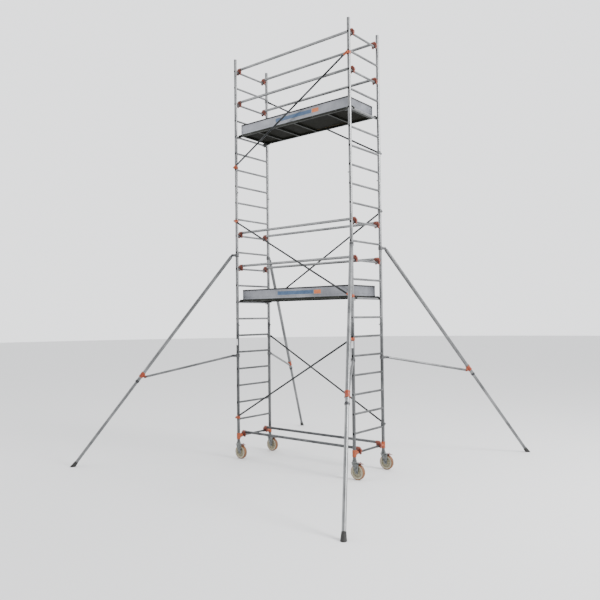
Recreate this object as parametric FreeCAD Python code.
import FreeCAD, Part
import math
import os

# Mobile tower scaffold on castors, with four telescopic stabilisers.
# Millimetres, +Z up, ground at Z = 0.  X runs along the platforms, Y across the end frames.

# Layout of the tower
BAY_LENGTH = 2090.0          # between the axes of the two end frames, along X
FRAME_WIDTH = 700.0          # between the axes of the two posts of a frame, along Y
RUNG_PITCH = 250.0
BASE_LEVEL_Z = 330.0         # axis of the base cross tubes, which is level 0 of the rungs
BASE_RUNGS = 6
MIDDLE_RUNGS = 8
TOP_RUNGS = 8
JOINT_UNDER_RUNG = 65.0      # top of each frame's posts under the next rung level
POST_FOOT_Z = 245.0          # lower end of the base posts

# Tubes
POST_OD = 45.0
POST_WALL = 2.0
RUNG_OD = 30.0
RUNG_WALL = 2.0
RAIL_OD = 38.0
RAIL_WALL = 2.0
DIAGONAL_OD = 25.0
DIAGONAL_WALL = 2.0

# Fits, all radial
WELD_FIT = 0.05              # rung in its post, tube in its fitting
SPIGOT_FIT = 0.2
SOCKET_REAM = 0.3            # post head over the bore of the rest of the post
SWIVEL_FIT = 0.1             # stabiliser clamp turning on a post
SLIDE_FIT = 0.1              # telescopic leg in its tube
PIN_FIT = 0.1
SEAT_GAP = 0.3               # between parts that rest on each other without a fit

# Frame joints
SOCKET_END_CLEAR = 5.0       # end of the reamed socket to the rung under it
SPIGOT_END_CLEAR = 15.0      # end of the spigot to the end of the socket
SPIGOT_UP = 45.0
SPIGOT_WALL = 3.0
PIN_OD = 8.0
PIN_BELOW_JOINT = 35.0
PIN_HEAD_OD = 14.0
PIN_HEAD_LENGTH = 6.0
PIN_TAIL = 12.0              # pin past the outside of the post

# Base collars
COLLAR_OD = 56.0
COLLAR_HEIGHT = 90.0
COLLAR_BOSS_OD = 44.0
COLLAR_BOSS_REACH = 75.0     # from the post axis
CROSS_TUBE_GAP = 3.5         # end of the cross tube off the post

# Rail hooks, which hang over a rung and hold the end of a rail
HOOK_THICKNESS = 30.0
HOOK_OUTER_RADIUS = 31.0
HOOK_SOCKET_OD = 48.0
HOOK_SOCKET_BACK = 14.0      # socket behind the rung axis
HOOK_SOCKET_FRONT = 44.0     # socket in front of the rung axis
RAIL_ABOVE_RUNG = 47.0
RAIL_START = 4.0             # end of the rail from the rung axis
RAIL_INBOARD = 77.0          # guardrail from the post axis, across the frame
BASE_RAIL_INBOARD = 108.0
GUARDRAIL_LEVELS = (10, 12, 20, 22)

# Diagonal braces, clipped round the posts on the two long sides
BRACE_HOOK_OD = 58.0
BRACE_HOOK_HEIGHT = 40.0
BRACE_HOOK_MOUTH = 36.0
BRACE_OUTBOARD = 44.0        # brace axis outside the post axis
BRACE_BOSS_OD = 32.0
BRACE_BOSS_LENGTH = 60.0
BRACE_BOSS_TAIL = 14.0       # boss past the post axis
BRACE_LIFT = 30.0            # brace end over or under the rung level it is clipped at
DIAGONALS = (                # long side (-1 front, 1 back), level at the left post, level at the right
    (-1, 1, 6),
    (-1, 13, 8),
    (-1, 16, 21),
    (1, 6, 1),
    (1, 8, 13),
    (1, 21, 16),
)

# Platforms
PLATFORM_LEVELS = {"lower": 8, "upper": 18}
PLATFORM_WIDTH = 590.0
PLATFORM_END_GAP = 60.0      # rung axis to the end of the platform frame
BEAM_WIDTH = 28.0
BEAM_HEIGHT = 30.0
BEAM_WALL = 2.0
BEAM_ABOVE_RUNG = 8.0        # underside of the beams over the rung axis
DECK_THICKNESS = 9.0
CROSS_MEMBER_WIDTH = 26.0
CLAW_THICKNESS = 26.0
CLAW_OUTER_RADIUS = 27.0
CLAW_TIP_DROP = 12.0
HATCH_LENGTH = 600.0
HATCH_WIDTH = 480.0
HATCH_X = 330.0              # centre of the hatch along the platform
HATCH_GAP = 3.0
HATCH_BACK_STRIP = 28.0      # deck left behind the hatch
HATCH_BEARING = 12.0         # hatch lying on each cross member
HINGE_PIN_OD = 5.0
HINGE_KNUCKLE_OD = 10.0
HINGE_KNUCKLE_LENGTH = 24.0
HINGE_LEAF = 22.0
HINGE_LEAF_THICKNESS = 2.0
HINGE_SPREAD = 200.0         # each hinge from the middle of the hatch

# Toe boards
TOE_BOARD_HEIGHT = 145.0
TOE_BOARD_DEPTH = 24.0
TOE_BOARD_WEB = 4.0
TOE_BOARD_TOP_LIP = 25.0
TOE_BOARD_FOOT_LIP = 18.0

# Wind locks, small catches under two corners of each platform
LOCK_LENGTH = 60.0
LOCK_HEIGHT = 12.0
LOCK_WIDTH = 22.0
LOCK_CLEAR = 3.0

# Castors
WHEEL_RADIUS = 100.0
WHEEL_WIDTH = 50.0
WHEEL_CORE_RADIUS = 76.0
WHEEL_HUB_RADIUS = 22.0
WHEEL_HUB_WIDTH = 57.0
CASTOR_TRAIL = 51.0
AXLE_OD = 12.0
FORK_GAP = 58.0              # between the fork legs
FORK_PLATE = 5.0
FORK_CROWN_Z = 210.0
FORK_CROWN_THICKNESS = 6.0
FORK_CROWN_RADIUS = 44.0
BEARING_CUP_RADIUS = 31.0
STEM_FLANGE_RADIUS = 30.0
STEM_FLANGE_THICKNESS = 6.0
STEM_LENGTH = 70.0
PEDAL_WIDTH = 44.0
PEDAL_THICKNESS = 5.0
PEDAL_PIVOT_X = 74.0         # from the post axis
PEDAL_PIVOT_Z = 216.0
PEDAL_LENGTH = 62.0
PEDAL_DROOP = 12.0           # degrees under level
PEDAL_PIN_OD = 8.0

# Stabilisers
STABILISER_OD = 50.0
STABILISER_WALL = 2.5
LEG_WALL = 2.5
STABILISER_BRACE_OD = 34.0
STABILISER_BRACE_WALL = 2.0
CLAMP_OD = 60.0
CLAMP_HEIGHT = 50.0
UPPER_CLAMP_LEVEL = 11       # rung level over the upper clamp
UPPER_CLAMP_CLEAR = 5.0      # clamp to that rung
LOWER_CLAMP_LEVEL = 5
LOWER_CLAMP_CLEAR = 13.0
PIVOT_REACH = 72.0           # pivot bolt from the post axis
LUG_PLATE = 6.0
LUG_GAP = 12.6               # between the two plates of a lug
EYE_THICKNESS = 12.0
EYE_RADIUS = 19.0
PIVOT_BOLT_OD = 12.0
TUBE_START = 34.0            # tube end from its pivot
EYE_PLUG_LENGTH = 40.0
OUTER_TUBE_LENGTH = 2330.0
LEG_OVERLAP = 620.0          # leg inside the outer tube
SLIDER_ALONG = 2200.0        # slider from the upper pivot
SLIDER_OD = 66.0
SLIDER_LENGTH = 80.0
SLIDER_PIVOT_OFFSET = 52.0   # slider pivot off the tube axis
FOOT_TOP_RADIUS = 26.0
FOOT_BOTTOM_RADIUS = 34.0
FOOT_HEIGHT = 85.0
LEG_END_ABOVE_FOOT = 45.0    # leg tube end from the ground, along the leg
WING_NUT_RADIUS = 9.0
WING_NUT_LENGTH = 14.0
WING_SPAN = 46.0
WING_THICKNESS = 5.0

# Each corner: side along X, side across Y, then the stabiliser's bearing in degrees and its reach
CORNERS = {
    "front_left": (-1, -1, -129.9, 2362.0),
    "front_right": (1, -1, -58.3, 2265.0),
    "back_left": (-1, 1, 116.6, 2341.0),
    "back_right": (1, 1, 62.0, 2520.0),
}

# Derived sizes
POST_RADIUS = POST_OD / 2
POST_BORE = POST_RADIUS - POST_WALL
POST_SOCKET = POST_BORE + SOCKET_REAM
RUNG_RADIUS = RUNG_OD / 2
RUNG_END = math.sqrt(POST_RADIUS ** 2 - RUNG_RADIUS ** 2)
POST_ABOVE_RUNG = RUNG_PITCH - JOINT_UNDER_RUNG
SOCKET_DEPTH = POST_ABOVE_RUNG - RUNG_RADIUS - SOCKET_END_CLEAR
SPIGOT_DOWN = SOCKET_DEPTH - SPIGOT_END_CLEAR
HALF_BAY = BAY_LENGTH / 2
HALF_FRAME = FRAME_WIDTH / 2
LEG_RADIUS = STABILISER_OD / 2 - STABILISER_WALL - SLIDE_FIT


def level(number):
    """Height of a rung level."""
    return BASE_LEVEL_Z + RUNG_PITCH * number


JOINT_LEVELS = (BASE_RUNGS, BASE_RUNGS + MIDDLE_RUNGS)
JOINT_HEIGHTS = tuple(level(number) + POST_ABOVE_RUNG for number in JOINT_LEVELS)
POST_TOP_Z = level(BASE_RUNGS + MIDDLE_RUNGS + TOP_RUNGS) + POST_ABOVE_RUNG


def vec(x, y, z):
    return FreeCAD.Vector(x, y, z)


def bar(start, end, radius):
    """Round bar between two points."""
    axis = end - start
    return Part.makeCylinder(radius, axis.Length, start, axis)


def tube(start, end, radius, wall):
    """Round tube between two points."""
    return bar(start, end, radius).cut(bar(start, end, radius - wall))


def block(low, high):
    """Rectangular block from its lowest to its highest corner."""
    size = high - low
    return Part.makeBox(size.x, size.y, size.z, low)


def plate(outline, y_low, y_high):
    """Flat plate whose outline lies in the XZ plane."""
    points = [vec(x, y_low, z) for x, z in outline]
    face = Part.Face(Part.makePolygon(points + points[:1]))
    return face.extrude(vec(0, y_high - y_low, 0))


def fuse(first, *others):
    """One clean solid out of several that overlap."""
    return first.multiFuse(list(others)).removeSplitter().Solids[0]


def placed(shape, x, y, z=0.0, turn=0.0):
    """Copy of a shape, turned about +Z at the origin and then moved."""
    copy = shape.copy()
    copy.rotate(vec(0, 0, 0), vec(0, 0, 1), turn)
    copy.translate(vec(x, y, z))
    return copy


def post_places():
    """Side and place of each of the four post axes."""
    for x_side in (-1, 1):
        for y_side in (-1, 1):
            yield x_side, y_side, x_side * HALF_BAY, y_side * HALF_FRAME


# End frames: two posts, and rungs that run through them. The head of each post is reamed to
# take a spigot.
def end_frame(x_side, foot_z, head_z, rung_levels, pinned_at_head):
    x = x_side * HALF_BAY
    solids = []
    for y_side in (-1, 1):
        y = y_side * HALF_FRAME
        post = tube(vec(x, y, foot_z), vec(x, y, head_z), POST_RADIUS, POST_WALL)
        cutters = [bar(vec(x, y, head_z - SOCKET_DEPTH), vec(x, y, head_z + POST_WALL), POST_SOCKET)]
        for number in rung_levels:
            z = level(number)
            hole_radius = RUNG_RADIUS + WELD_FIT
            cutters.append(bar(vec(x, y - POST_OD, z), vec(x, y + POST_OD, z), hole_radius))
        if pinned_at_head:
            z = head_z - PIN_BELOW_JOINT
            cutters.append(bar(vec(x - POST_OD, y, z), vec(x + POST_OD, y, z), PIN_OD / 2 + PIN_FIT))
        solids.append(post.cut(cutters).Solids[0])
    reach = HALF_FRAME + RUNG_END
    for number in rung_levels:
        z = level(number)
        solids.append(tube(vec(x, -reach, z), vec(x, reach, z), RUNG_RADIUS, RUNG_WALL))
    return solids


def end_frames():
    tiers = (
        ("base", POST_FOOT_Z, JOINT_HEIGHTS[0], range(1, JOINT_LEVELS[0] + 1), True),
        ("middle", JOINT_HEIGHTS[0], JOINT_HEIGHTS[1],
         range(JOINT_LEVELS[0] + 1, JOINT_LEVELS[1] + 1), True),
        ("top", JOINT_HEIGHTS[1], POST_TOP_Z,
         range(JOINT_LEVELS[1] + 1, JOINT_LEVELS[1] + TOP_RUNGS + 1), False),
    )
    nodes = {}
    for name, foot_z, head_z, rung_levels, pinned in tiers:
        for side_name, x_side in (("left", -1), ("right", 1)):
            nodes["frame_%s_%s" % (name, side_name)] = end_frame(
                x_side, foot_z, head_z, rung_levels, pinned)
    return nodes


# Spigots join a frame to the one under it, and a sprung pin locks each of them
def frame_spigots():
    radius = POST_BORE - SPIGOT_FIT
    solids = []
    for _, _, x, y in post_places():
        for joint_z in JOINT_HEIGHTS:
            spigot = tube(vec(x, y, joint_z - SPIGOT_DOWN), vec(x, y, joint_z + SPIGOT_UP),
                          radius, SPIGOT_WALL)
            z = joint_z - PIN_BELOW_JOINT
            hole = bar(vec(x - POST_OD, y, z), vec(x + POST_OD, y, z), PIN_OD / 2 + PIN_FIT)
            solids.append(spigot.cut(hole))
    return solids


def locking_pins():
    solids = []
    for x_side, _, x, y in post_places():
        for joint_z in JOINT_HEIGHTS:
            z = joint_z - PIN_BELOW_JOINT
            tail = x + x_side * (POST_RADIUS + PIN_TAIL / 2)
            neck = x - x_side * (POST_RADIUS + PIN_TAIL)
            head = neck - x_side * PIN_HEAD_LENGTH
            shank = bar(vec(tail, y, z), vec(neck, y, z), PIN_OD / 2)
            solids.append(fuse(shank, bar(vec(neck, y, z), vec(head, y, z), PIN_HEAD_OD / 2)))
    return solids


# Base: collars on the posts hold a cross tube at each end, and two rails hang on the cross tubes
def base_collars():
    solids = []
    for _, y_side, x, y in post_places():
        z = BASE_LEVEL_Z
        sleeve = bar(vec(x, y, z - COLLAR_HEIGHT / 2), vec(x, y, z + COLLAR_HEIGHT / 2), COLLAR_OD / 2)
        inward = -y_side
        boss = bar(vec(x, y, z), vec(x, y + inward * COLLAR_BOSS_REACH, z), COLLAR_BOSS_OD / 2)
        post_bore = bar(vec(x, y, z - COLLAR_HEIGHT), vec(x, y, z + COLLAR_HEIGHT),
                        POST_RADIUS + WELD_FIT)
        tube_bore = bar(vec(x, y, z), vec(x, y + inward * (COLLAR_BOSS_REACH + 1), z),
                        RUNG_RADIUS + WELD_FIT)
        solids.append(fuse(sleeve, boss).cut([post_bore, tube_bore]).Solids[0])
    return solids


def base_cross_tubes():
    reach = HALF_FRAME - POST_RADIUS - CROSS_TUBE_GAP
    return [tube(vec(x, -reach, BASE_LEVEL_Z), vec(x, reach, BASE_LEVEL_Z), RUNG_RADIUS, RUNG_WALL)
            for x in (-HALF_BAY, HALF_BAY)]


def rail_places():
    """Level and across-place of every rail that hangs in hooks."""
    places = []
    for number in GUARDRAIL_LEVELS:
        for y_side in (-1, 1):
            places.append((number, y_side * (HALF_FRAME - RAIL_INBOARD)))
    base_places = [(0, y_side * (HALF_FRAME - BASE_RAIL_INBOARD)) for y_side in (-1, 1)]
    return places, base_places


def rails(places):
    reach = HALF_BAY - RAIL_START
    solids = []
    for number, y in places:
        z = level(number) + RAIL_ABOVE_RUNG
        solids.append(tube(vec(-reach, y, z), vec(reach, y, z), RAIL_OD / 2, RAIL_WALL))
    return solids


def rail_hook():
    """Hook over a rung along Y at the origin, holding a rail that runs off towards +X."""
    half = HOOK_THICKNESS / 2
    claw = bar(vec(0, -half, 0), vec(0, half, 0), HOOK_OUTER_RADIUS)
    cheek = block(vec(-HOOK_SOCKET_BACK, -half, 0), vec(HOOK_OUTER_RADIUS, half, RAIL_ABOVE_RUNG))
    socket = bar(vec(-HOOK_SOCKET_BACK, 0, RAIL_ABOVE_RUNG), vec(HOOK_SOCKET_FRONT, 0, RAIL_ABOVE_RUNG),
                 HOOK_SOCKET_OD / 2)
    rung_bore = bar(vec(0, -HOOK_SOCKET_OD, 0), vec(0, HOOK_SOCKET_OD, 0), RUNG_RADIUS + SEAT_GAP)
    mouth = block(vec(-RUNG_RADIUS - SEAT_GAP, -HOOK_SOCKET_OD, -2 * HOOK_OUTER_RADIUS),
                  vec(RUNG_RADIUS + SEAT_GAP, HOOK_SOCKET_OD, 0))
    rail_bore = bar(vec(RAIL_START, 0, RAIL_ABOVE_RUNG), vec(2 * HOOK_SOCKET_FRONT, 0, RAIL_ABOVE_RUNG),
                    RAIL_OD / 2 + WELD_FIT)
    return fuse(claw, cheek, socket).cut([rung_bore, mouth, rail_bore]).Solids[0]


def rail_hooks(places):
    hook = rail_hook()
    solids = []
    for number, y in places:
        solids.append(placed(hook, -HALF_BAY, y, level(number)))
        solids.append(placed(hook, HALF_BAY, y, level(number), 180))
    return solids


# Diagonal braces on the two long sides, in sockets on clips round the posts
def brace_ends(diagonal):
    """Where a brace axis passes its left and its right post."""
    y_side, left_level, right_level = diagonal
    y = y_side * (HALF_FRAME + BRACE_OUTBOARD)
    rise = 1 if right_level > left_level else -1
    left = vec(-HALF_BAY, y, level(left_level) + rise * BRACE_LIFT)
    right = vec(HALF_BAY, y, level(right_level) - rise * BRACE_LIFT)
    return left, right


def diagonal_braces():
    solids = []
    for diagonal in DIAGONALS:
        left, right = brace_ends(diagonal)
        solids.append(tube(left, right, DIAGONAL_OD / 2, DIAGONAL_WALL))
    return solids


def brace_clip(post_x, y_side, near, far):
    """Clip round a post, open on the inner side, with a socket for the end of the brace."""
    post_y = y_side * HALF_FRAME
    low = near.z - BRACE_HOOK_HEIGHT / 2
    high = near.z + BRACE_HOOK_HEIGHT / 2
    ring = bar(vec(post_x, post_y, low), vec(post_x, post_y, high), BRACE_HOOK_OD / 2)
    along = (far - near).normalize()
    socket = bar(near - along * BRACE_BOSS_TAIL, near + along * BRACE_BOSS_LENGTH, BRACE_BOSS_OD / 2)
    y_pad = sorted((post_y, near.y))
    pad = block(vec(post_x - BRACE_BOSS_OD / 2, y_pad[0], near.z - BRACE_BOSS_OD / 2),
                vec(post_x + BRACE_BOSS_OD / 2, y_pad[1], near.z + BRACE_BOSS_OD / 2))
    post_bore = bar(vec(post_x, post_y, low - BRACE_HOOK_HEIGHT), vec(post_x, post_y, high + BRACE_HOOK_HEIGHT),
                    POST_RADIUS + WELD_FIT)
    y_mouth = sorted((post_y, post_y - y_side * BRACE_HOOK_OD))
    mouth = block(vec(post_x - BRACE_HOOK_MOUTH / 2, y_mouth[0], low - 1),
                  vec(post_x + BRACE_HOOK_MOUTH / 2, y_mouth[1], high + 1))
    tube_bore = bar(near, near + along * 2 * BRACE_BOSS_LENGTH, DIAGONAL_OD / 2 + WELD_FIT)
    return fuse(ring, pad, socket).cut([post_bore, mouth, tube_bore]).Solids[0]


def brace_hooks():
    solids = []
    for diagonal in DIAGONALS:
        left, right = brace_ends(diagonal)
        solids.append(brace_clip(-HALF_BAY, diagonal[0], left, right))
        solids.append(brace_clip(HALF_BAY, diagonal[0], right, left))
    return solids


# Platforms: a frame of box beams, a plywood deck with a hatch, and claws over the rungs
PLATFORM_HALF_LENGTH = HALF_BAY - PLATFORM_END_GAP
PLATFORM_HALF_WIDTH = PLATFORM_WIDTH / 2
DECK_ABOVE_RUNG = BEAM_ABOVE_RUNG + BEAM_HEIGHT
HATCH_BACK_Y = PLATFORM_HALF_WIDTH - BEAM_WIDTH - HATCH_BACK_STRIP
HATCH_FRONT_Y = HATCH_BACK_Y - HATCH_WIDTH


def box_beam(low, high):
    """Hollow beam, open at both ends of its longest side."""
    size = high - low
    inner_low = vec(low.x + BEAM_WALL, low.y + BEAM_WALL, low.z + BEAM_WALL)
    inner_high = vec(high.x - BEAM_WALL, high.y - BEAM_WALL, high.z - BEAM_WALL)
    if size.x > size.y:
        inner_low.x = low.x
        inner_high.x = high.x
    else:
        inner_low.y = low.y
        inner_high.y = high.y
    return block(low, high).cut(block(inner_low, inner_high))


def cross_member_places():
    """Middle of each cross member along X: two carry the hatch and two stiffen the deck."""
    offset = HATCH_LENGTH / 2 + CROSS_MEMBER_WIDTH / 2 - HATCH_BEARING
    low = HATCH_X - offset
    high = HATCH_X + offset
    return (low - (low + PLATFORM_HALF_LENGTH) * 2 / 3, low - (low + PLATFORM_HALF_LENGTH) / 3, low, high)


def platform_frame(number):
    z_low = level(number) + BEAM_ABOVE_RUNG
    z_high = z_low + BEAM_HEIGHT
    x_end = PLATFORM_HALF_LENGTH
    y_in = PLATFORM_HALF_WIDTH - BEAM_WIDTH
    solids = [box_beam(vec(-x_end, -PLATFORM_HALF_WIDTH, z_low), vec(x_end, -y_in, z_high)),
              box_beam(vec(-x_end, y_in, z_low), vec(x_end, PLATFORM_HALF_WIDTH, z_high))]
    for x in (-x_end, x_end - BEAM_WIDTH):
        solids.append(box_beam(vec(x, -y_in, z_low), vec(x + BEAM_WIDTH, y_in, z_high)))
    for x in cross_member_places():
        half = CROSS_MEMBER_WIDTH / 2
        solids.append(box_beam(vec(x - half, -y_in, z_low), vec(x + half, y_in, z_high - DECK_THICKNESS)))
    return solids


def platform_deck(number):
    top = level(number) + DECK_ABOVE_RUNG
    x_end = PLATFORM_HALF_LENGTH - BEAM_WIDTH
    y_end = PLATFORM_HALF_WIDTH - BEAM_WIDTH
    panel = block(vec(-x_end, -y_end, top - DECK_THICKNESS), vec(x_end, y_end, top))
    opening = block(
        vec(HATCH_X - HATCH_LENGTH / 2 - HATCH_GAP, HATCH_FRONT_Y - HATCH_GAP, top - 2 * DECK_THICKNESS),
        vec(HATCH_X + HATCH_LENGTH / 2 + HATCH_GAP, HATCH_BACK_Y + HATCH_GAP, top + DECK_THICKNESS))
    return [panel.cut(opening)]


HINGE_AXIS_Y = HATCH_BACK_Y + HATCH_GAP / 2
HINGE_ABOVE_DECK = HINGE_KNUCKLE_OD / 2 + SEAT_GAP


def hinge_half(x_low, x_high, y_far, deck_z):
    """Knuckles and leaf of a hinge, on the side of the axis where y_far lies."""
    axis_z = deck_z + HINGE_ABOVE_DECK
    y_leaf = sorted((HINGE_AXIS_Y, y_far))
    knuckle = bar(vec(x_low, HINGE_AXIS_Y, axis_z), vec(x_high, HINGE_AXIS_Y, axis_z),
                  HINGE_KNUCKLE_OD / 2)
    leaf = block(vec(x_low, y_leaf[0], deck_z), vec(x_high, y_leaf[1], deck_z + HINGE_LEAF_THICKNESS))
    bore = bar(vec(x_low - 1, HINGE_AXIS_Y, axis_z), vec(x_high + 1, HINGE_AXIS_Y, axis_z),
               HINGE_PIN_OD / 2 + PIN_FIT)
    return fuse(knuckle, leaf).cut(bore).Solids[0]


def hinge_middles():
    return (HATCH_X - HINGE_SPREAD, HATCH_X + HINGE_SPREAD)


def platform_hatch(number):
    top = level(number) + DECK_ABOVE_RUNG
    solids = [block(vec(HATCH_X - HATCH_LENGTH / 2, HATCH_FRONT_Y, top - DECK_THICKNESS + SEAT_GAP),
                    vec(HATCH_X + HATCH_LENGTH / 2, HATCH_BACK_Y, top))]
    for x in hinge_middles():
        half = HINGE_KNUCKLE_LENGTH / 2
        solids.append(hinge_half(x - half, x + half, HINGE_AXIS_Y - HINGE_LEAF, top))
    return solids


def hatch_hinges():
    solids = []
    for number in PLATFORM_LEVELS.values():
        top = level(number) + DECK_ABOVE_RUNG
        axis_z = top + HINGE_ABOVE_DECK
        for x in hinge_middles():
            inner = HINGE_KNUCKLE_LENGTH / 2 + SEAT_GAP
            outer = inner + HINGE_KNUCKLE_LENGTH
            for low, high in ((x - outer, x - inner), (x + inner, x + outer)):
                solids.append(hinge_half(low, high, HINGE_AXIS_Y + HINGE_LEAF, top))
            solids.append(bar(vec(x - outer, HINGE_AXIS_Y, axis_z), vec(x + outer, HINGE_AXIS_Y, axis_z),
                              HINGE_PIN_OD / 2))
    return solids


def claw():
    """Claw over a rung along Y at the origin, on the end of a beam that lies towards +X."""
    half = CLAW_THICKNESS / 2
    disc = bar(vec(0, -half, 0), vec(0, half, 0), CLAW_OUTER_RADIUS)
    arm = block(vec(0, -half, BEAM_ABOVE_RUNG), vec(PLATFORM_END_GAP, half, DECK_ABOVE_RUNG - WELD_FIT))
    bore = bar(vec(0, -BEAM_WIDTH, 0), vec(0, BEAM_WIDTH, 0), RUNG_RADIUS + SEAT_GAP)
    under = block(vec(-RUNG_RADIUS - SEAT_GAP, -BEAM_WIDTH, -2 * CLAW_OUTER_RADIUS),
                  vec(2 * CLAW_OUTER_RADIUS, BEAM_WIDTH, 0))
    tip = block(vec(-2 * CLAW_OUTER_RADIUS, -BEAM_WIDTH, -2 * CLAW_OUTER_RADIUS),
                vec(0, BEAM_WIDTH, -CLAW_TIP_DROP))
    return fuse(disc, arm).cut([bore, under, tip]).Solids[0]


def claw_places():
    y = PLATFORM_HALF_WIDTH - BEAM_WIDTH / 2
    for number in PLATFORM_LEVELS.values():
        for x_side in (-1, 1):
            for y_side in (-1, 1):
                yield level(number), x_side, y_side * y


def platform_claws():
    shape = claw()
    return [placed(shape, x_side * HALF_BAY, y, z, 0 if x_side < 0 else 180)
            for z, x_side, y in claw_places()]


def wind_locks():
    """Catches under the claws at the back left and the front right of each platform."""
    solids = []
    for z, x_side, y in claw_places():
        if x_side * y > 0:
            continue
        inward = -x_side
        top = z + BEAM_ABOVE_RUNG
        x_far = x_side * PLATFORM_HALF_LENGTH + inward * LOCK_LENGTH
        x_near = x_side * HALF_BAY + inward * (CLAW_OUTER_RADIUS + LOCK_CLEAR)
        x_span = sorted((x_near, x_far))
        arm = block(vec(x_span[0], y - LOCK_WIDTH / 2, top - LOCK_HEIGHT), vec(x_span[1], y + LOCK_WIDTH / 2, top))
        under = z - RUNG_RADIUS - LOCK_CLEAR
        catch_span = sorted((x_side * HALF_BAY, x_near + inward * LOCK_HEIGHT))
        drop_span = sorted((x_near, x_near + inward * LOCK_HEIGHT))
        drop = block(vec(drop_span[0], y - LOCK_WIDTH / 2, under - LOCK_HEIGHT),
                     vec(drop_span[1], y + LOCK_WIDTH / 2, top))
        catch = block(vec(catch_span[0], y - LOCK_WIDTH / 2, under - LOCK_HEIGHT),
                      vec(catch_span[1], y + LOCK_WIDTH / 2, under))
        solids.append(fuse(arm, drop, catch))
    return solids


# Toe boards: aluminium channels that stand on the platform frame
def channel(length):
    """Toe board from the origin along +X, its flat face at Y = 0 and its lips towards +Y."""
    points = [vec(0, 0, 0), vec(0, TOE_BOARD_DEPTH, 0), vec(0, TOE_BOARD_DEPTH, TOE_BOARD_FOOT_LIP),
              vec(0, TOE_BOARD_WEB, TOE_BOARD_FOOT_LIP),
              vec(0, TOE_BOARD_WEB, TOE_BOARD_HEIGHT - TOE_BOARD_TOP_LIP),
              vec(0, TOE_BOARD_DEPTH, TOE_BOARD_HEIGHT - TOE_BOARD_TOP_LIP),
              vec(0, TOE_BOARD_DEPTH, TOE_BOARD_HEIGHT), vec(0, 0, TOE_BOARD_HEIGHT)]
    face = Part.Face(Part.makePolygon(points + points[:1]))
    return face.extrude(vec(length, 0, 0))


def toe_boards(number):
    z = level(number) + DECK_ABOVE_RUNG
    y_out = PLATFORM_HALF_WIDTH - (BEAM_WIDTH - TOE_BOARD_DEPTH) / 2
    x_out = PLATFORM_HALF_LENGTH - (BEAM_WIDTH - TOE_BOARD_DEPTH) / 2
    long_board = channel(2 * PLATFORM_HALF_LENGTH)
    end_length = 2 * (y_out - TOE_BOARD_DEPTH - SEAT_GAP)
    end_board = channel(end_length)
    return [placed(long_board, -PLATFORM_HALF_LENGTH, -y_out, z),
            placed(long_board, PLATFORM_HALF_LENGTH, y_out, z, 180),
            placed(end_board, x_out, -end_length / 2, z, 90),
            placed(end_board, -x_out, end_length / 2, z, -90)]


# Castors, built round a post axis at the origin and trailing towards +X
STEM_FLANGE_Z = POST_FOOT_Z - STEM_FLANGE_THICKNESS
CUP_HIGH_Z = STEM_FLANGE_Z - SEAT_GAP
CUP_LOW_Z = FORK_CROWN_Z + FORK_CROWN_THICKNESS


def castor_stem():
    """Plug in the post with a flange under it and the king pin through the fork crown."""
    plug = bar(vec(0, 0, STEM_FLANGE_Z), vec(0, 0, POST_FOOT_Z + STEM_LENGTH), POST_BORE - SPIGOT_FIT)
    flange = bar(vec(0, 0, STEM_FLANGE_Z), vec(0, 0, POST_FOOT_Z), STEM_FLANGE_RADIUS)
    king_pin = bar(vec(0, 0, FORK_CROWN_Z), vec(0, 0, POST_FOOT_Z), AXLE_OD / 2)
    return fuse(plug, flange, king_pin)


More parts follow.
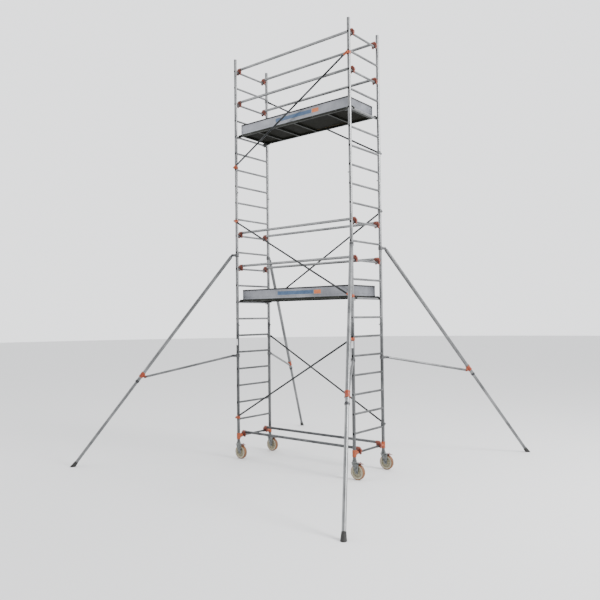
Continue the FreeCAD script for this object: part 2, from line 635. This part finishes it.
def castor_fork():
    crown = bar(vec(0, 0, FORK_CROWN_Z), vec(0, 0, CUP_LOW_Z), FORK_CROWN_RADIUS)
    cup = bar(vec(0, 0, FORK_CROWN_Z), vec(0, 0, CUP_HIGH_Z), BEARING_CUP_RADIUS)
    leg_out = FORK_GAP / 2 + FORK_PLATE
    shelf = block(vec(-FORK_CROWN_RADIUS / 2, -leg_out, FORK_CROWN_Z), vec(PEDAL_PIVOT_X - PEDAL_PIN_OD,
                  leg_out, CUP_LOW_Z))
    outline = [(-FORK_CROWN_RADIUS / 2, CUP_LOW_Z), (PEDAL_PIVOT_X - PEDAL_PIN_OD, CUP_LOW_Z),
               (PEDAL_PIVOT_X - PEDAL_PIN_OD, PEDAL_PIVOT_Z + PEDAL_PIN_OD),
               (PEDAL_PIVOT_X + PEDAL_PIN_OD, PEDAL_PIVOT_Z + PEDAL_PIN_OD),
               (PEDAL_PIVOT_X + PEDAL_PIN_OD, FORK_CROWN_Z - PEDAL_PIN_OD),
               (CASTOR_TRAIL + WHEEL_HUB_RADIUS, WHEEL_RADIUS),
               (CASTOR_TRAIL - WHEEL_HUB_RADIUS, WHEEL_RADIUS),
               (-FORK_CROWN_RADIUS / 2, FORK_CROWN_Z - 2 * FORK_PLATE)]
    legs = []
    cutters = [bar(vec(0, 0, 0), vec(0, 0, POST_FOOT_Z), AXLE_OD / 2 + PIN_FIT)]
    for side in (-1, 1):
        y_span = sorted((side * FORK_GAP / 2, side * leg_out))
        leg = plate(outline, y_span[0], y_span[1])
        end = bar(vec(CASTOR_TRAIL, y_span[0], WHEEL_RADIUS), vec(CASTOR_TRAIL, y_span[1], WHEEL_RADIUS),
                  WHEEL_HUB_RADIUS)
        legs += [leg, end]
    for x, z, radius in ((CASTOR_TRAIL, WHEEL_RADIUS, AXLE_OD / 2),
                         (PEDAL_PIVOT_X, PEDAL_PIVOT_Z, PEDAL_PIN_OD / 2)):
        cutters.append(bar(vec(x, -FORK_GAP, z), vec(x, FORK_GAP, z), radius + PIN_FIT))
    fork = fuse(crown, cup, shelf, *legs).cut(cutters).Solids[0]
    head = leg_out + FORK_PLATE
    axle = bar(vec(CASTOR_TRAIL, -leg_out, WHEEL_RADIUS), vec(CASTOR_TRAIL, leg_out, WHEEL_RADIUS), AXLE_OD / 2)
    caps = [bar(vec(CASTOR_TRAIL, side * leg_out, WHEEL_RADIUS), vec(CASTOR_TRAIL, side * head, WHEEL_RADIUS),
                AXLE_OD * 0.8) for side in (-1, 1)]
    pedal_pin = bar(vec(PEDAL_PIVOT_X, -leg_out, PEDAL_PIVOT_Z), vec(PEDAL_PIVOT_X, leg_out, PEDAL_PIVOT_Z),
                    PEDAL_PIN_OD / 2)
    return [fork, fuse(axle, *caps), pedal_pin]


def castor_wheel():
    """Core with its hub, and the tyre bonded round it."""
    def disc(radius, width):
        return bar(vec(CASTOR_TRAIL, -width / 2, WHEEL_RADIUS), vec(CASTOR_TRAIL, width / 2, WHEEL_RADIUS), radius)

    bore = disc(AXLE_OD / 2 + PIN_FIT, 2 * WHEEL_HUB_WIDTH)
    core = fuse(disc(WHEEL_CORE_RADIUS, WHEEL_WIDTH * 0.8), disc(WHEEL_HUB_RADIUS, WHEEL_HUB_WIDTH)).cut(bore)
    tyre = disc(WHEEL_RADIUS, WHEEL_WIDTH)
    rims = [edge for edge in tyre.Edges if len(edge.Vertexes) == 1]
    tyre = tyre.makeFillet(WHEEL_WIDTH * 0.2, rims).cut(disc(WHEEL_CORE_RADIUS + WELD_FIT, 2 * WHEEL_WIDTH))
    return [core.Solids[0], tyre.Solids[0]]


def brake_pedal():
    """Lever on its pin at the trailing side of the fork."""
    pivot = vec(PEDAL_PIVOT_X, 0, PEDAL_PIVOT_Z)
    half = PEDAL_WIDTH / 2
    sleeve = bar(vec(PEDAL_PIVOT_X, -half, PEDAL_PIVOT_Z), vec(PEDAL_PIVOT_X, half, PEDAL_PIVOT_Z),
                 PEDAL_PIN_OD)
    tread = block(vec(PEDAL_PIVOT_X, -half, PEDAL_PIVOT_Z), vec(PEDAL_PIVOT_X + PEDAL_LENGTH, half,
                  PEDAL_PIVOT_Z + PEDAL_THICKNESS))
    lever = fuse(sleeve, tread)
    lever = lever.cut(bar(vec(PEDAL_PIVOT_X, -2 * half, PEDAL_PIVOT_Z), vec(PEDAL_PIVOT_X, 2 * half,
                      PEDAL_PIVOT_Z), PEDAL_PIN_OD / 2 + PIN_FIT)).Solids[0]
    lever.rotate(pivot, vec(0, 1, 0), PEDAL_DROOP)
    return lever


def castors():
    nodes = {"castor_stems": []}
    for corner, (x_side, y_side, _, _) in CORNERS.items():
        x = x_side * HALF_BAY
        y = y_side * HALF_FRAME
        nodes["castor_stems"].append(placed(castor_stem(), x, y))
        nodes["castor_fork_" + corner] = [placed(shape, x, y) for shape in castor_fork()]
        nodes["castor_wheel_" + corner] = [placed(shape, x, y) for shape in castor_wheel()]
        nodes["brake_pedal_" + corner] = [placed(brake_pedal(), x, y)]
    return nodes


# Stabilisers, built round a post axis at the origin and reaching out towards +X
UPPER_CLAMP_Z = level(UPPER_CLAMP_LEVEL) - RUNG_RADIUS - CLAMP_HEIGHT / 2 - UPPER_CLAMP_CLEAR
LOWER_CLAMP_Z = level(LOWER_CLAMP_LEVEL) - RUNG_RADIUS - CLAMP_HEIGHT / 2 - LOWER_CLAMP_CLEAR


def along_main(reach, distance, offset=0.0):
    """Point on the main tube's axis, and off it towards the ground side by the offset."""
    start = vec(PIVOT_REACH, 0, UPPER_CLAMP_Z)
    run = vec(reach, 0, 0) - start
    run.normalize()
    under = vec(run.z, 0, -run.x)
    return start + run * distance + under * offset


def wing_nut(centre):
    """Nut with two wings, its axis along Y."""
    end = centre + vec(0, WING_NUT_LENGTH, 0)
    hub = bar(centre, end, WING_NUT_RADIUS)
    wings = block(centre + vec(-WING_SPAN / 2, WING_NUT_LENGTH / 2, -WING_THICKNESS / 2),
                  end + vec(WING_SPAN / 2, WING_NUT_LENGTH / 2, WING_THICKNESS / 2))
    return fuse(hub, wings)


def lug_plates(centre, back, eye_turn):
    """Two cheeks that run from a clamp's body to the pivot, on each side of an eye."""
    cheeks = []
    for side in (-1, 1):
        y_span = sorted((side * LUG_GAP / 2, side * (LUG_GAP / 2 + LUG_PLATE)))
        cheek = block(vec(-back, y_span[0], -EYE_RADIUS), vec(0, y_span[1], EYE_RADIUS))
        nose = bar(vec(0, y_span[0], 0), vec(0, y_span[1], 0), EYE_RADIUS)
        shape = fuse(cheek, nose)
        shape.rotate(vec(0, 0, 0), vec(0, 1, 0), eye_turn)
        shape.translate(centre)
        cheeks.append(shape)
    return cheeks


def pivot_hole(centre):
    side = vec(0, CLAMP_OD, 0)
    return bar(centre - side, centre + side, PIVOT_BOLT_OD / 2 + PIN_FIT)


def pivot_bolt(centre):
    """Pivot bolt with a head on one side and a wing nut on the other."""
    half = LUG_GAP / 2 + LUG_PLATE
    shank = bar(centre - vec(0, half, 0), centre + vec(0, half + WING_NUT_LENGTH / 2, 0), PIVOT_BOLT_OD / 2)
    head = bar(centre - vec(0, half + LUG_PLATE, 0), centre - vec(0, half, 0), PIVOT_BOLT_OD * 0.8)
    return fuse(shank, head, wing_nut(centre + vec(0, half, 0)))


def post_clamp(z):
    """Clamp that grips a post and carries a pivot."""
    centre = vec(PIVOT_REACH, 0, z)
    ring = bar(vec(0, 0, z - CLAMP_HEIGHT / 2), vec(0, 0, z + CLAMP_HEIGHT / 2), CLAMP_OD / 2)
    bore = bar(vec(0, 0, z - CLAMP_HEIGHT), vec(0, 0, z + CLAMP_HEIGHT), POST_RADIUS + SWIVEL_FIT)
    back = PIVOT_REACH - POST_RADIUS
    body = fuse(ring, *lug_plates(centre, back, 0))
    return body.cut([bore, pivot_hole(centre)]).Solids[0]


def tube_eye(centre, toward, tube_bore):
    """Flat eye on a plug that is fixed in the end of a tube."""
    half = EYE_THICKNESS / 2
    direction = (toward - centre).normalize()
    turn = math.degrees(math.atan2(-direction.z, direction.x))
    nose = bar(vec(0, -half, 0), vec(0, half, 0), EYE_RADIUS)
    neck = block(vec(0, -half, -EYE_RADIUS), vec(TUBE_START, half, EYE_RADIUS))
    plug = bar(vec(TUBE_START - EYE_THICKNESS / 2, 0, 0), vec(TUBE_START + EYE_PLUG_LENGTH, 0, 0),
               tube_bore - WELD_FIT)
    body = fuse(nose, neck, plug)
    clear = bar(vec(0, -tube_bore, 0), vec(0, -half, 0), EYE_RADIUS + PIN_FIT)
    body = body.cut([clear, clear.mirror(vec(0, 0, 0), vec(0, 1, 0))])
    body.rotate(vec(0, 0, 0), vec(0, 1, 0), turn)
    body.translate(centre)
    return body.cut(pivot_hole(centre)).Solids[0]


def stabiliser(reach):
    """The five groups of solids of one stabiliser."""
    upper = vec(PIVOT_REACH, 0, UPPER_CLAMP_Z)
    lower = vec(PIVOT_REACH, 0, LOWER_CLAMP_Z)
    slider_pivot = along_main(reach, SLIDER_ALONG, SLIDER_PIVOT_OFFSET)
    length = (vec(reach, 0, 0) - upper).Length
    outer_bore = STABILISER_OD / 2 - STABILISER_WALL
    main = tube(along_main(reach, TUBE_START), along_main(reach, OUTER_TUBE_LENGTH),
                STABILISER_OD / 2, STABILISER_WALL)
    run = (slider_pivot - lower).normalize()
    brace = tube(lower + run * TUBE_START, slider_pivot - run * TUBE_START,
                 STABILISER_BRACE_OD / 2, STABILISER_BRACE_WALL)
    brace_bore = STABILISER_BRACE_OD / 2 - STABILISER_BRACE_WALL
    clamps = [post_clamp(UPPER_CLAMP_Z), post_clamp(LOWER_CLAMP_Z),
              tube_eye(upper, along_main(reach, length), outer_bore),
              tube_eye(lower, slider_pivot, brace_bore), tube_eye(slider_pivot, lower, brace_bore),
              pivot_bolt(upper), pivot_bolt(lower), pivot_bolt(slider_pivot)]

    middle = along_main(reach, SLIDER_ALONG)
    low = along_main(reach, SLIDER_ALONG - SLIDER_LENGTH / 2)
    high = along_main(reach, SLIDER_ALONG + SLIDER_LENGTH / 2)
    away = (slider_pivot - middle).normalize()
    lug_turn = math.degrees(math.atan2(-away.z, away.x))
    cheeks = lug_plates(slider_pivot, SLIDER_PIVOT_OFFSET - STABILISER_OD / 2, lug_turn)
    bore = bar(middle + (low - middle) * 2, middle + (high - middle) * 2, STABILISER_OD / 2 + WELD_FIT)
    slider = fuse(bar(low, high, SLIDER_OD / 2), *cheeks).cut([bore, pivot_hole(slider_pivot)]).Solids[0]

    leg = tube(along_main(reach, OUTER_TUBE_LENGTH - LEG_OVERLAP), along_main(reach, length - LEG_END_ABOVE_FOOT),
               LEG_RADIUS, LEG_WALL)
    foot_top = along_main(reach, length - FOOT_HEIGHT)
    slope = along_main(reach, length) - foot_top
    spare = FOOT_HEIGHT
    end_radius = FOOT_BOTTOM_RADIUS + (FOOT_BOTTOM_RADIUS - FOOT_TOP_RADIUS) * spare / FOOT_HEIGHT
    cone = Part.makeCone(FOOT_TOP_RADIUS, end_radius, FOOT_HEIGHT + spare, foot_top, slope)
    ground = block(vec(reach - 10 * spare, -5 * spare, -10 * spare), vec(reach + 10 * spare, 5 * spare, 0))
    socket = bar(along_main(reach, length - 2 * FOOT_HEIGHT), along_main(reach, length - LEG_END_ABOVE_FOOT),
                 LEG_RADIUS + WELD_FIT)
    foot = cone.cut([ground, socket]).Solids[0]
    return {"tubes": [main, brace], "clamps": clamps, "slider": [slider], "leg": [leg], "foot": [foot]}


def stabilisers():
    nodes = {}
    for corner, (x_side, y_side, bearing, reach) in CORNERS.items():
        for group, solids in stabiliser(reach).items():
            nodes["stabiliser_%s_%s" % (group, corner)] = [
                placed(shape, x_side * HALF_BAY, y_side * HALF_FRAME, 0, bearing) for shape in solids]
    return nodes


def all_nodes():
    guardrail_places, base_rail_places = rail_places()
    nodes = end_frames()
    nodes["frame_spigots"] = frame_spigots()
    nodes["locking_pins"] = locking_pins()
    nodes["base_collars"] = base_collars()
    nodes["base_cross_tubes"] = base_cross_tubes()
    nodes["base_rails"] = rails(base_rail_places)
    nodes["guardrails"] = rails(guardrail_places)
    nodes["rail_hooks"] = rail_hooks(guardrail_places + base_rail_places)
    nodes["diagonal_braces"] = diagonal_braces()
    nodes["brace_hooks"] = brace_hooks()
    for name, number in PLATFORM_LEVELS.items():
        nodes["platform_frame_" + name] = platform_frame(number)
        nodes["platform_deck_" + name] = platform_deck(number)
        nodes["platform_hatch_" + name] = platform_hatch(number)
        nodes["toe_boards_" + name] = toe_boards(number)
    nodes["hatch_hinges"] = hatch_hinges()
    nodes["platform_claws"] = platform_claws()
    nodes["wind_locks"] = wind_locks()
    nodes.update(castors())
    nodes.update(stabilisers())
    return nodes


def ground_centre(nodes):
    """Middle of the four feet's box on the ground, which is where the origin goes."""
    box = FreeCAD.BoundBox()
    for corner in CORNERS:
        box.add(nodes["stabiliser_foot_" + corner][0].optimalBoundingBox(False, False))
    return vec(box.Center.x, box.Center.y, 0)


def main():
    os.makedirs("parts", exist_ok=True)
    nodes = all_nodes()
    shift = ground_centre(nodes) * -1
    for name, solids in nodes.items():
        node = Part.makeCompound(solids)
        node.translate(shift)
        node.exportStep("parts/%s.step" % name)
    print("%d nodes, origin moved by %.3f %.3f" % (len(nodes), shift.x, shift.y))


main()
